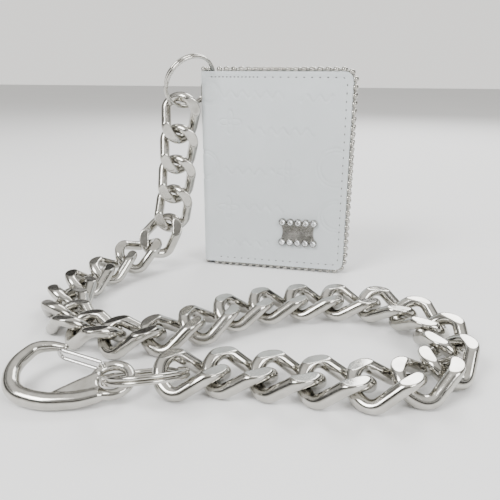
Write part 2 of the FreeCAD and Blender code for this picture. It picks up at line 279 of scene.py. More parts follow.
class Finishes:
    """Every material of the object, made once."""

    def __init__(self) -> None:
        """Make the materials."""
        self.chain = MetalFinish("nickel_chain").make()
        self.rings = MetalFinish("nickel_ring_wire", roughness=(0.09, 0.16), ripple=0.0001).make()
        self.hook = MetalFinish("nickel_hook", roughness=(0.12, 0.22), ripple=0.0007).make()
        self.wire = MetalFinish("nickel_gate_wire", (0.66, 0.655, 0.64), (0.55, 0.545, 0.53),
                                ripple=0.0001).make()
        self.trim = MetalFinish("nickel_ball_trim", (0.50, 0.49, 0.455), (0.34, 0.33, 0.30),
                                ripple=0.0001).make()
        self.fitting = MetalFinish("aged_nickel_fitting", (0.42, 0.41, 0.385), (0.22, 0.215, 0.20),
                                   (0.16, 0.3)).make()
        self.crystal = CrystalFinish().make()
        self.leather = LeatherFinish("white_leather", (0.60, 0.635, 0.65), (0.565, 0.60, 0.615)).make()
        self.inner = LeatherFinish("pocket_leather", (0.66, 0.69, 0.70), (0.60, 0.63, 0.64), 1900.0).make()
        self.lining = PlainFinish("lining_cloth", (0.45, 0.46, 0.46), (0.36, 0.37, 0.37)).make()
        self.thread = PlainFinish("stitch_thread", (0.12, 0.115, 0.11), (0.06, 0.058, 0.055)).make()


# ------------------------------------------------------------------ mesh helpers


def mesh_object(name: str, points: Sequence[Sequence[float]], faces: Sequence[Sequence[int]],
                smooth: bool = True, edges: Sequence[Sequence[int]] = ()) -> bpy.types.Object:
    """Make an object from plain data.

    Args:
        name: The object's name.
        points: Vertex places in metres.
        faces: Vertex numbers of each face.
        smooth: Whether faces shade smooth.
        edges: Loose edges, where there are no faces.

    Returns:
        The new object, in the scene.
    """
    mesh = bpy.data.meshes.new(name)
    mesh.from_pydata([tuple(p) for p in points], list(edges), [tuple(f) for f in faces])
    mesh.update()
    for polygon in mesh.polygons:
        polygon.use_smooth = smooth
    obj = bpy.data.objects.new(name, mesh)
    bpy.context.scene.collection.objects.link(obj)
    return obj


def settle(obj: bpy.types.Object) -> bpy.types.Object:
    """Turn an object's modifiers into plain mesh and drop them."""
    graph = bpy.context.evaluated_depsgraph_get()
    mesh = bpy.data.meshes.new_from_object(obj.evaluated_get(graph))
    obj.modifiers.clear()
    obj.data = mesh
    return obj


def shade_smooth(obj: bpy.types.Object) -> bpy.types.Object:
    """Make every face shade smooth."""
    for polygon in obj.data.polygons:
        polygon.use_smooth = True
    return obj


def outward(obj: bpy.types.Object) -> bpy.types.Object:
    """Merge doubled points and point every face outwards."""
    work = bmesh.new()
    work.from_mesh(obj.data)
    bmesh.ops.remove_doubles(work, verts=work.verts, dist=1e-7)
    bmesh.ops.recalc_face_normals(work, faces=work.faces)
    work.to_mesh(obj.data)
    work.free()
    return obj


def join(name: str, objects: Sequence[bpy.types.Object]) -> bpy.types.Object:
    """Join meshes that sit at the origin into one object.

    Args:
        name: Name of the joined object.
        objects: The objects, which are used up.

    Returns:
        The joined object.
    """
    points, faces, smooth = [], [], []
    for obj in objects:
        start = len(points)
        points += [v.co.copy() for v in obj.data.vertices]
        faces += [[start + i for i in p.vertices] for p in obj.data.polygons]
        smooth += [p.use_smooth for p in obj.data.polygons]
        bpy.data.objects.remove(obj)
    joined = mesh_object(name, points, faces)
    joined.data.polygons.foreach_set("use_smooth", smooth)
    return joined


def dress_in(obj: bpy.types.Object, finish: bpy.types.Material) -> None:
    """Give an object one material."""
    obj.data.materials.clear()
    obj.data.materials.append(finish)


def deliver(obj: bpy.types.Object, body: str, slot: str, finish: bpy.types.Material | None,
            *nodes: str) -> None:
    """Dress a finished piece and tie it to its body.

    Args:
        obj: The piece, with its place in its mesh.
        body: The body that it rides on.
        slot: The record's material slot; not used.
        finish: The material, or None where the mesh already has it.
        nodes: The CAD nodes that it stands for.
    """
    if finish is not None:
        dress_in(obj, finish)
    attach(obj, body)
    if nodes:
        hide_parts(*nodes)
    LOG.info("%s: %d faces on %s", obj.name, len(obj.data.polygons), body)


def rounded_path(corners: Sequence[Vector], closed: bool, share: float, step: float,
                 radius: float | None = None) -> list[Vector]:
    """Points along a polygon whose corners are rounded by tangent arcs.

    Args:
        corners: The polygon's corners.
        closed: Whether it runs back to its start.
        share: Share of each side that a corner's arc takes up.
        step: Distance between points.
        radius: Radius of every arc, where the sides allow it.

    Returns:
        The points in order.
    """
    count, path = len(corners), []
    if not closed:
        path.append(corners[0].copy())
    for i in range(count) if closed else range(1, count - 1):
        at = corners[i]
        back, ahead = corners[i - 1] - at, corners[(i + 1) % count] - at
        reach = share * min(back.length, ahead.length)
        turn = math.pi - back.angle(ahead)
        if radius is not None:
            reach = min(reach, radius * math.tan(turn / 2))
        bend = reach / math.tan(turn / 2)
        start, end = at + back.normalized() * reach, at + ahead.normalized() * reach
        centre = at + (back.normalized() + ahead.normalized()).normalized() * math.hypot(bend, reach)
        if path:
            path += straight(path[-1], start, step)
        parts = max(3, round(bend * turn / step))
        axis = (start - centre).cross(end - centre)
        path += [centre + Matrix.Rotation(turn * k / parts, 3, axis) @ (start - centre) for k in range(parts)]
        path.append(end)
    path += straight(path[-1], path[0] if closed else corners[-1], step)
    if not closed:
        path.append(corners[-1].copy())
    return path


def straight(start: Vector, end: Vector, step: float) -> list[Vector]:
    """Points between two ends, about a step apart, without the ends."""
    parts = max(1, round((end - start).length / step))
    return [start.lerp(end, k / parts) for k in range(1, parts)]


def spaced(path: Sequence[Vector], pitch: Callable[[float], float]) -> list[tuple[Vector, Vector]]:
    """Places along a path at a pitch that may change with the distance covered.

    Args:
        path: The path's points.
        pitch: Distance to the next place, from the distance covered.

    Returns:
        For each place, the point and the path's direction there.
    """
    places, covered, wanted = [], 0.0, 0.0
    for a, b in zip(path[:-1], path[1:]):
        run = (b - a).length
        while run > 0 and wanted <= covered + run:
            places.append((a.lerp(b, (wanted - covered) / run), (b - a).normalized()))
            wanted += pitch(wanted)
        covered += run
    return places


def ring_faces(rings: int, count: int, capped: bool = True) -> list[tuple[int, ...]]:
    """Faces that join rings of points, one ring after another.

    Args:
        rings: How many rings there are.
        count: Points in each ring.
        capped: Whether the first and the last ring are closed by a face.

    Returns:
        The faces as point numbers.
    """
    faces = []
    for i in range(rings - 1):
        for k in range(count):
            a, b = i * count + k, i * count + (k + 1) % count
            faces.append((a, b, b + count, a + count))
    if capped:
        faces += [tuple(range(count)), tuple(range((rings - 1) * count, rings * count))]
    return faces


def sweep(name: str, path: Sequence[Vector], radii: Sequence[float], sides: int = 24) -> bpy.types.Object:
    """A round bar of changing radius along an open path.

    Args:
        name: The object's name.
        path: Centre line points.
        radii: Radius at each point.
        sides: Sides of the section.

    Returns:
        The bar.
    """
    points = []
    normal = (path[1] - path[0]).orthogonal().normalized()
    for i, centre in enumerate(path):
        ahead = (path[min(i + 1, len(path) - 1)] - path[max(i - 1, 0)]).normalized()
        normal = (normal - ahead * normal.dot(ahead)).normalized()
        side = ahead.cross(normal)
        for k in range(sides):
            angle = 2 * math.pi * k / sides
            points.append(centre + (normal * math.cos(angle) + side * math.sin(angle)) * radii[i])
    return outward(mesh_object(name, points, ring_faces(len(path), sides)))


def lathe(name: str, profile: Sequence[tuple[float, float]], centre: Vector, axis: Vector,
          sides: int = 24) -> bpy.types.Object:
    """A turned shape from a profile of (radius, height) points, with flat ends."""
    turn = axis.to_track_quat("Z", "Y").to_matrix()
    points = [centre + turn @ Vector((r * math.cos(a), r * math.sin(a), h))
              for r, h in profile for a in (2 * math.pi * k / sides for k in range(sides))]
    return outward(mesh_object(name, points, ring_faces(len(profile), sides)))


# ------------------------------------------------------------------ geometry node trees


class NodeTree:
    """A Geometry Nodes tree built in code, with named inputs and one geometry output."""

    def __init__(self, name: str, inputs: dict[str, str]) -> None:
        """Start the tree.

        Args:
            name: The tree's name.
            inputs: Socket type of each named input after the geometry.
        """
        self.tree = bpy.data.node_groups.new(name, "GeometryNodeTree")
        face = self.tree.interface
        face.new_socket("Geometry", in_out="INPUT", socket_type="NodeSocketGeometry")
        self.sockets = {key: face.new_socket(key, in_out="INPUT", socket_type=kind).identifier
                        for key, kind in inputs.items()}
        face.new_socket("Geometry", in_out="OUTPUT", socket_type="NodeSocketGeometry")
        self.start = self.tree.nodes.new("NodeGroupInput")
        self.end = self.tree.nodes.new("NodeGroupOutput")

    def add(self, kind: str, links: dict[str, bpy.types.NodeSocket], **settings: object) -> bpy.types.Node:
        """Add a node.

        Args:
            kind: The node's type name.
            links: The socket that feeds each named input.
            settings: Node properties, or inputs where the name is that of an input.

        Returns:
            The node.
        """
        node = self.tree.nodes.new(kind)
        for key, value in settings.items():
            if hasattr(node, key):
                setattr(node, key, value)
            else:
                node.inputs[key.replace("_", " ")].default_value = value
        for key, source in links.items():
            self.tree.links.new(source, node.inputs[key])
        return node

    def close(self, geometry: bpy.types.NodeSocket) -> None:
        """End the tree with Realize Instances and Set Material."""
        real = self.add("GeometryNodeRealizeInstances", {"Geometry": geometry})
        dressed = self.add("GeometryNodeSetMaterial", {"Geometry": real.outputs["Geometry"],
                                                       "Material": self.start.outputs["Material"]})
        self.tree.links.new(dressed.outputs["Geometry"], self.end.inputs["Geometry"])

    def run(self, obj: bpy.types.Object, values: dict[str, object]) -> bpy.types.Object:
        """Run the tree on an object and keep the result as its plain mesh.

        Args:
            obj: The object that carries the points.
            values: A value for each named input.

        Returns:
            The same object with its new mesh.
        """
        modifier = obj.modifiers.new(self.tree.name, "NODES")
        modifier.node_group = self.tree
        for key, value in values.items():
            modifier[self.sockets[key]] = value
        return shade_smooth(settle(obj))


def beaded_wire_tree() -> NodeTree:
    """Balls on every point of a line of edges, threaded on a wire that follows the edges."""
    tree = NodeTree("beaded_wire", {"Bead Radius": "NodeSocketFloat", "Wire Radius": "NodeSocketFloat",
                                    "Material": "NodeSocketMaterial"})
    source = tree.start.outputs
    ball = tree.add("GeometryNodeMeshUVSphere", {"Radius": source["Bead Radius"]}, Segments=14, Rings=9)
    balls = tree.add("GeometryNodeInstanceOnPoints", {"Points": source["Geometry"],
                                                      "Instance": ball.outputs["Mesh"]})
    line = tree.add("GeometryNodeMeshToCurve", {"Mesh": source["Geometry"]})
    section = tree.add("GeometryNodeCurvePrimitiveCircle", {"Radius": source["Wire Radius"]}, Resolution=8)
    wire = tree.add("GeometryNodeCurveToMesh", {"Curve": line.outputs["Curve"],
                                                "Profile Curve": section.outputs["Curve"]}, Fill_Caps=True)
    both = tree.add("GeometryNodeJoinGeometry", {})
    tree.tree.links.new(wire.outputs["Mesh"], both.inputs["Geometry"])
    tree.tree.links.new(balls.outputs["Instances"], both.inputs["Geometry"])
    tree.close(both.outputs["Geometry"])
    return tree


def stitch_tree() -> NodeTree:
    """A small pressed stitch on every point, turned along the point's own direction."""
    tree = NodeTree("stitches", {"Length": "NodeSocketFloat", "Width": "NodeSocketFloat",
                                 "Material": "NodeSocketMaterial"})
    source = tree.start.outputs
    along = tree.add("GeometryNodeInputNamedAttribute", {}, data_type="FLOAT_VECTOR", Name="along")
    turn = tree.add("FunctionNodeAlignRotationToVector", {"Vector": along.outputs["Attribute"]}, axis="X")
    ball = tree.add("GeometryNodeMeshUVSphere", {}, Segments=10, Rings=6, Radius=0.5)
    size = tree.add("ShaderNodeCombineXYZ", {"X": source["Length"], "Y": source["Width"],
                                             "Z": source["Width"]})
    stitches = tree.add("GeometryNodeInstanceOnPoints",
                        {"Points": source["Geometry"], "Instance": ball.outputs["Mesh"],
                         "Rotation": turn.outputs["Rotation"], "Scale": size.outputs["Vector"]})
    tree.close(stitches.outputs["Instances"])
    return tree


def curb_link_tree() -> NodeTree:
    """Round wire along a closed line, with its high shoulders filed flat."""
    tree = NodeTree("curb_link", {"Wire Radius": "NodeSocketFloat", "Filed Half": "NodeSocketFloat",
                                  "Material": "NodeSocketMaterial"})
    source = tree.start.outputs
    line = tree.add("GeometryNodeMeshToCurve", {"Mesh": source["Geometry"]})
    section = tree.add("GeometryNodeCurvePrimitiveCircle", {"Radius": source["Wire Radius"]}, Resolution=32)
    wire = tree.add("GeometryNodeCurveToMesh", {"Curve": line.outputs["Curve"],
                                                "Profile Curve": section.outputs["Curve"]})
    place = tree.add("GeometryNodeInputPosition", {})
    parts = tree.add("ShaderNodeSeparateXYZ", {"Vector": place.outputs["Position"]})
    low = tree.add("ShaderNodeMath", {0: source["Filed Half"]}, operation="MULTIPLY")
    low.inputs[1].default_value = -1.0
    flat = tree.add("ShaderNodeClamp", {"Value": parts.outputs["Z"], "Min": low.outputs["Value"],
                                        "Max": source["Filed Half"]})
    filed = tree.add("ShaderNodeCombineXYZ", {"X": parts.outputs["X"], "Y": parts.outputs["Y"],
                                              "Z": flat.outputs["Result"]})
    moved = tree.add("GeometryNodeSetPosition", {"Geometry": wire.outputs["Mesh"],
                                                 "Position": filed.outputs["Vector"]})
    tree.close(moved.outputs["Geometry"])
    return tree


def rib_tree() -> NodeTree:
    """Short rounded ribs, one on every point."""
    tree = NodeTree("ribs", {"Length": "NodeSocketFloat", "Width": "NodeSocketFloat",
                             "Material": "NodeSocketMaterial"})
    source = tree.start.outputs
    ball = tree.add("GeometryNodeMeshUVSphere", {}, Segments=10, Rings=7, Radius=0.5)
    size = tree.add("ShaderNodeCombineXYZ", {"X": source["Width"], "Y": source["Width"],
                                             "Z": source["Length"]})
    ribs = tree.add("GeometryNodeInstanceOnPoints", {"Points": source["Geometry"],
                                                     "Instance": ball.outputs["Mesh"],
                                                     "Scale": size.outputs["Vector"]})
    tree.close(ribs.outputs["Instances"])
    return tree


# ------------------------------------------------------------------ wallet


@dataclass
class WalletFrame:
    """The closed wallet's place: x from the fold to the open edge, y front to back, z up, in millimetres."""

    depth: float = 16.0
    leather: float = 2.2
    corner: float = 4.5
    fold_radius: float = 4.0

    def __post_init__(self) -> None:
        """Read the wallet's corners from the CAD pieces."""
        spine_low, spine_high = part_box("spine_leather")
        cover_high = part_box("front_cover_leather")[1]
        self.origin = Vector((spine_low[0], spine_low[1], 0.0))
        self.width = (cover_high[0] - spine_low[0]) / MM
        self.base, self.top = spine_low[2] / MM, spine_high[2] / MM

    def at(self, x: float, y: float, z: float) -> Vector:
        """A place in metres from wallet millimetres."""
        return self.origin + Vector((x, y, z)) * MM

    def deep(self, side: Side, y: float) -> float:
        """Distance y behind the outer face of one side, as a depth from the front."""
        return y if side is Side.FRONT else self.depth - y


@dataclass
class CoverLeather:
    """One half of the leather jacket: from the middle of the fold round to the open edge."""

    wallet: WalletFrame
    side: Side
    grid: float = 0.46
    seam_inset: float = 2.9
    seam_depth: float = 0.16
    crown: float = 0.45
    press_depth: float = 0.34
    press_width: float = 0.62
    edge_round: float = 0.5
    edge_swell: float = 9.0
    fold_swell: float = 10.0
    seam_width: float = 0.55
    plain_border: float = 3.6
    wave_height: float = 1.6
    wave_length: float = 6.5
    bend_start: float = 2.5
    bend_end: float = 9.0
    motifs: tuple[tuple[Motif, float, float, float], ...] = (
        (Motif.WAVE, 29.0, 98.5, 17.0), (Motif.ROSETTE, 17.0, 84.0, 6.2), (Motif.WAVE, 45.0, 79.5, 18.0),
        (Motif.WAVE, 26.0, 57.0, 17.0), (Motif.ROSETTE, 49.5, 57.5, 6.2), (Motif.RINGS, 76.0, 61.0, 10.5),
        (Motif.ROSETTE, 15.5, 36.0, 6.2), (Motif.WAVE, 36.0, 36.5, 11.0), (Motif.RINGS, 77.5, 34.0, 9.0),
        (Motif.RINGS, 2.0, 60.0, 8.0), (Motif.WAVE, 24.0, 15.0, 15.0), (Motif.RINGS, 5.5, 99.0, 6.0),
        (Motif.WAVE, 64.0, 97.0, 9.0))

    def pressed(self, x: np.ndarray, z: np.ndarray) -> np.ndarray:
        """Depth of the pressed figures.

        Args:
            x: Distances from the fold.
            z: Heights.

        Returns:
            The depth at each place, in millimetres.
        """
        depth = np.zeros_like(x)
        for kind, cx, cz, size in self.motifs:
            u, v = x - cx, z - cz
            reach = np.hypot(u, v)
            if kind is Motif.WAVE:
                wave = self.wave_height * np.sin(2 * np.pi * u / self.wave_length)
                away = np.hypot(0.75 * (v - wave), np.maximum(np.abs(u) - size, 0))
            elif kind is Motif.ROSETTE:
                away = np.minimum(np.abs(reach - size * (0.68 + 0.32 * np.cos(4 * np.arctan2(v, u)))),
                                  np.abs(reach - 0.2 * size))
            else:
                away = np.minimum(np.abs(reach - size), np.abs(reach - 0.82 * size))
            depth = np.maximum(depth, np.exp(-(away / self.press_width) ** 2))
        return depth * self.press_depth

    def raised(self, x: np.ndarray, z: np.ndarray) -> np.ndarray:
        """Height of the face above its flat plane: the padding's crown less seam and figures."""
        w = self.wallet
        edge = np.minimum(np.minimum(z - w.base, w.top - z), w.width - x)
        swell = np.clip((edge - self.seam_inset) / self.edge_swell, 0, 1)
        swell = swell * swell * (3 - 2 * swell)
        near_fold = np.clip(x / self.fold_swell, 0, 1)
        seam = self.seam_depth * np.exp(-((edge - self.seam_inset) / self.seam_width) ** 2)
        figures = self.pressed(x, z) * np.clip(edge - self.plain_border, 0, 1)
        return self.crown * swell * near_fold - seam - figures

    def columns(self) -> tuple[np.ndarray, np.ndarray, np.ndarray, np.ndarray]:
        """Outer line of the jacket: x, depth behind the face, and the outward direction, at each column."""
        w, r = self.wallet, self.wallet.fold_radius
        flat = [(0.0, y, -1.0, 0.0) for y in np.linspace(w.depth / 2, r, 9)[:-1]]
        bend = [(r - r * math.cos(a), r - r * math.sin(a), -math.cos(a), -math.sin(a))
                for a in np.linspace(0, math.pi / 2, 11)[:-1]]
        last = w.width - w.corner
        face = [(x, 0.0, 0.0, -1.0) for x in np.linspace(r, last, round((last - r) / self.grid))[:-1]]
        tail = [(last + w.corner * math.sin(a), 0.0, 0.0, -1.0) for a in np.linspace(0, math.pi / 2, 12)]
        return tuple(np.array(flat + bend + face + tail).T)

    def build(self) -> bpy.types.Object:
        """Build the half jacket as a closed sheet with soft edges."""
        w = self.wallet
        x, y, nx, ny = self.columns()
        rows = np.linspace(0, 1, round((w.top - w.base) / self.grid))
        cut = np.clip(x - (w.width - w.corner), 0, w.corner)
        short = w.corner - np.sqrt(w.corner ** 2 - cut ** 2)
        z = (w.base + short)[:, None] + rows[None, :] * (w.top - w.base - 2 * short)[:, None]
        lift = self.raised(np.repeat(x[:, None], len(rows), 1), z)
        px, py = x[:, None] + nx[:, None] * lift, y[:, None] + ny[:, None] * lift
        points, faces = [], []
        for i in range(len(x)):
            for j in range(len(rows)):
                points.append(w.at(px[i, j], w.deep(self.side, py[i, j]), z[i, j]))
        slot_low, slot_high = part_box("spine_eyelet")
        middle = 0.5 * (slot_low[2] + slot_high[2]) / MM
        half_height = 0.5 * (slot_high[2] - slot_low[2]) / MM
        half_width = 0.5 * (slot_high[1] - slot_low[1]) / MM
        run = half_height - half_width
        for i in range(len(x) - 1):
            for j in range(len(rows) - 1):
                across = abs(0.5 * (y[i] + y[i + 1]) - w.depth / 2)
                up = abs(0.5 * (z[i, j] + z[i, j + 1]) - middle)
                if x[i] < 0.01 and math.hypot(across, max(up - run, 0)) < half_width - 1.0:
                    continue
                a = i * len(rows) + j
                faces.append((a, a + 1, a + len(rows) + 1, a + len(rows)))
        if self.side is Side.FRONT:
            faces = [tuple(reversed(f)) for f in faces]
        obj = mesh_object(f"{self.side.word}_leather_jacket", points, faces)
        self.thicken(obj)
        return obj

    def thicken(self, obj: bpy.types.Object) -> None:
        """Give the sheet its thickness towards the inside, and round its edges."""
        solid = obj.modifiers.new("thickness", "SOLIDIFY")
        solid.thickness, solid.offset = self.wallet.leather * MM, -1.0
        bevel = obj.modifiers.new("edge", "BEVEL")
        bevel.width, bevel.segments, bevel.limit_method = self.edge_round * MM, 3, "ANGLE"
        bevel.angle_limit = math.radians(60)
        shade_smooth(settle(obj))

    def dress(self, finishes: Finishes) -> None:
        """Build the half jacket, give it its leather and hide the CAD leather that it stands for."""
        obj = self.build()
        dress_in(obj, finishes.leather)
        w = self.wallet
        height, face = 0.5 * (w.base + w.top), w.deep(self.side, 0.0)
        start, end = w.at(self.bend_start, face, height), w.at(self.bend_end, face, height)
        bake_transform(obj)
        nodes = [f"{self.side.word}_cover_leather"] + (["spine_leather"] if self.side is Side.FRONT else [])
        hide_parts(*nodes)
        LOG.info("%s: %d faces", obj.name, len(obj.data.polygons))


@dataclass
class Stitching:
    """The line of pressed stitches round the three open edges of a cover."""

    wallet: WalletFrame
    side: Side
    inset: float = 2.9
    start: float = 7.0
    pitch: float = 4.15
    close_pitch: float = 2.1
    close_run: float = 24.0
    length: float = 1.15
    width: float = 0.56

    def dress(self, finishes: Finishes, tree: NodeTree) -> None:
        """Lay the stitches along the edge."""
        w = self.wallet
        low, high, right = w.base + self.inset, w.top - self.inset, w.width - self.inset
        face = w.deep(self.side, 0.14)
        corners = [w.at(self.start, face, high), w.at(right, face, high), w.at(right, face, low),
                   w.at(self.start, face, low)]
        path = rounded_path(corners, False, 0.4, 0.5 * MM, 3.0 * MM)

        def pitch(covered: float) -> float:
            return (self.close_pitch if covered < self.close_run * MM else self.pitch) * MM

        places = spaced(path, pitch)
        obj = mesh_object(f"{self.side.word}_stitches", [p for p, _ in places], [])
        along = obj.data.attributes.new("along", "FLOAT_VECTOR", "POINT")
        along.data.foreach_set("vector", [c for _, d in places for c in d])
        tree.run(obj, {"Length": self.length * MM, "Width": self.width * MM, "Material": finishes.thread})
        deliver(obj, self.side.body, "outer_leather", None)


@dataclass
class BallTrim:
    """Balls threaded on a wire along the edges of the covers and across the ends of the fold."""

    wallet: WalletFrame
    bead: float = 3.1
    wire: float = 0.95
    pitch: float = 4.15
    out: float = 0.9
    behind: float = 1.6
    top_start: float = 11.0
    bottom_end: float = 7.6

    def make(self, name: str, path: Sequence[Vector], body: str, node: str, finishes: Finishes,
             tree: NodeTree) -> None:
        """Thread balls along a path.

        Args:
            name: The piece's name.
            path: The wire's centre line.
            body: The body it rides on.
            node: The CAD node it stands for.
            finishes: The materials.
            tree: The beaded wire tree.
        """
        places = [p for p, _ in spaced(path, lambda covered: self.pitch * MM)]
        obj = mesh_object(name, places, [], edges=[(i, i + 1) for i in range(len(places) - 1)])
        tree.run(obj, {"Bead Radius": 0.5 * self.bead * MM, "Wire Radius": 0.5 * self.wire * MM,
                       "Material": finishes.trim})
        deliver(obj, body, "trim_metal", None, node)

    def dress(self, finishes: Finishes, tree: NodeTree) -> None:
        """Make the trim of both covers and of the fold's two ends."""
        w = self.wallet
        top, bottom, right = w.top + self.out, w.base - self.out, w.width + self.out
        for side in Side:
            y = w.deep(side, self.behind)
            corners = [w.at(self.top_start, y, top), w.at(right, y, top), w.at(right, y, bottom),
                       w.at(self.bottom_end, y, bottom)]
            path = rounded_path(corners, False, 0.49, 0.4 * MM, (w.corner + self.out) * MM)
            self.make(f"{side.word}_trim_balls", path, side.body, f"{side.word}_ball_trim", finishes, tree)
        for word, z in (("top", top), ("bottom", bottom)):
            ends = [w.at(1.5, 0.5 * w.depth + sign * (self.pitch + 0.01), z) for sign in (-1, 1)]
            self.make(f"fold_{word}_balls", ends, "spine", f"spine_{word}_balls", finishes, tree)


@dataclass
class InnerPanels:
    """Lining, pockets, the note divider and the card window inside the wallet."""

    corner: float = 3.0
    crease_inset: float = 1.5
    crease_depth: float = 0.12
    round_over: float = 0.22

    def outline(self, low: Vector, high: Vector, radius: float) -> list[tuple[float, float]]:
        """A rounded rectangle in x and z, in metres."""
        places = []
        quarters = ((high.x - radius, high.z - radius, 0), (low.x + radius, high.z - radius, 90),
                    (low.x + radius, low.z + radius, 180), (high.x - radius, low.z + radius, 270))
        for cx, cz, turn in quarters:
            for k in range(9):
                a = math.radians(turn + 90 * k / 8)
                places.append((cx + radius * math.cos(a), cz + radius * math.sin(a)))
        return places

    def panel(self, node: str, name: str, window: float | None = None) -> bpy.types.Object:
        """A flat panel, creased inside its edge.

        Args:
            node: The CAD node that gives the size.
            name: The new piece's name.
            window: Width of the border where the panel is an open frame.

        Returns:
            The panel.
        """
        low, high = (Vector(corner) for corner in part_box(node))
        rings = []
        mid, half = 0.5 * (low.y + high.y), 0.5 * (high.y - low.y)
        soft, crease = self.round_over * MM, self.crease_inset * MM
        outer = self.outline(low, high, self.corner * MM)

        def ring(inset: float, depth: float) -> list[tuple[float, float, float]]:
            centre_x, centre_z = 0.5 * (low.x + high.x), 0.5 * (low.z + high.z)
            wide, tall = 0.5 * (high.x - low.x), 0.5 * (high.z - low.z)
            sx, sz = (wide - inset) / wide, (tall - inset) / tall
            return [(centre_x + (x - centre_x) * sx, depth, centre_z + (z - centre_z) * sz) for x, z in outer]

        insets = [(crease + 0.5 * MM, 0.0), (crease, self.crease_depth * MM), (crease - 0.5 * MM, 0.0),
                  (soft, 0.0)]
        if window is not None:
            insets = [(window * MM - soft, 0.0)] + insets
            rings += [ring(window * MM, mid), ring(window * MM, mid - half + soft)]
        rings += [ring(inset, mid - half + dip) for inset, dip in insets]
        rings += [ring(0.0, mid - half + soft), ring(0.0, mid + half - soft)]
        rings += [ring(inset, mid + half - dip) for inset, dip in reversed(insets)]
        if window is not None:
            rings += [ring(window * MM, mid + half - soft)]
        count = len(outer)
        points = [p for r in rings for p in r]
        faces = ring_faces(len(rings), count, capped=window is None)
        if window is not None:
            last = len(points) - count
            faces += [(last + k, last + (k + 1) % count, (k + 1) % count, k) for k in range(count)]
        return outward(mesh_object(name, points, faces, smooth=False))

    def dress(self, finishes: Finishes) -> None:
        """Make every inner panel."""
        for side in Side:
            word = side.word
            deliver(self.panel(f"{word}_lining", f"{word}_lining_cloth"), side.body, "lining",
                    finishes.lining, f"{word}_lining")
            for part in ("upper_pocket", "lower_pocket"):
                deliver(self.panel(f"{word}_{part}", f"{word}_{part}_leather"), side.body, "pocket_leather",
                        finishes.inner, f"{word}_{part}")
        deliver(self.panel("bill_divider", "note_divider_leather"), Side.BACK.body, "pocket_leather",
                finishes.inner, "bill_divider")
        deliver(self.panel("card_window_frame", "card_window_leather", 6.0), Side.BACK.body, "pocket_leather",
                finishes.inner, "card_window_frame")


@dataclass
class SpineEyelet:
    """The metal rim of the slot that the split ring passes through."""

    wallet: WalletFrame
    rim: float = 2.0
    proud: float = 0.55

    def dress(self, finishes: Finishes) -> None:
        """Make a domed rim round the slot, with a collar through the leather."""
        low, high = (Vector(corner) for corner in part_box("spine_eyelet"))
        centre = Vector((low.x, 0.5 * (low.y + high.y), 0.5 * (low.z + high.z)))
        half_width, half_height = 0.5 * (high.y - low.y), 0.5 * (high.z - low.z)
        run = half_height - half_width
        hole = half_width - self.rim * MM
        profile = [(hole, self.wallet.leather * MM - 0.2 * MM), (hole, 0.2 * MM),
                   (hole + 0.25 * MM, -0.3 * MM), (hole + 0.8 * MM, -self.proud * MM),
                   (hole + 1.4 * MM, -0.42 * MM), (half_width, 0.05 * MM), (half_width, 0.3 * MM),
                   (hole + 0.5 * MM, 0.5 * MM), (hole + 0.4 * MM, self.wallet.leather * MM - 0.2 * MM)]
        angles = [math.radians(180 * k / 16) for k in range(17)]
        turns = [(a, run) for a in angles] + [(a + math.pi, -run) for a in angles]
        points = [centre + Vector((d, r * math.cos(a), r * math.sin(a) + lift)) for a, lift in turns
                  for r, d in profile]
        size, count = len(profile), len(turns)
        faces = [(i * size + k, i * size + (k + 1) % size, ((i + 1) % count) * size + (k + 1) % size,
                  ((i + 1) % count) * size + k) for i in range(count) for k in range(size)]
        rim = outward(mesh_object("slot_eyelet", points, faces))
        deliver(rim, "spine", "fitting_metal", finishes.fitting, "spine_eyelet")


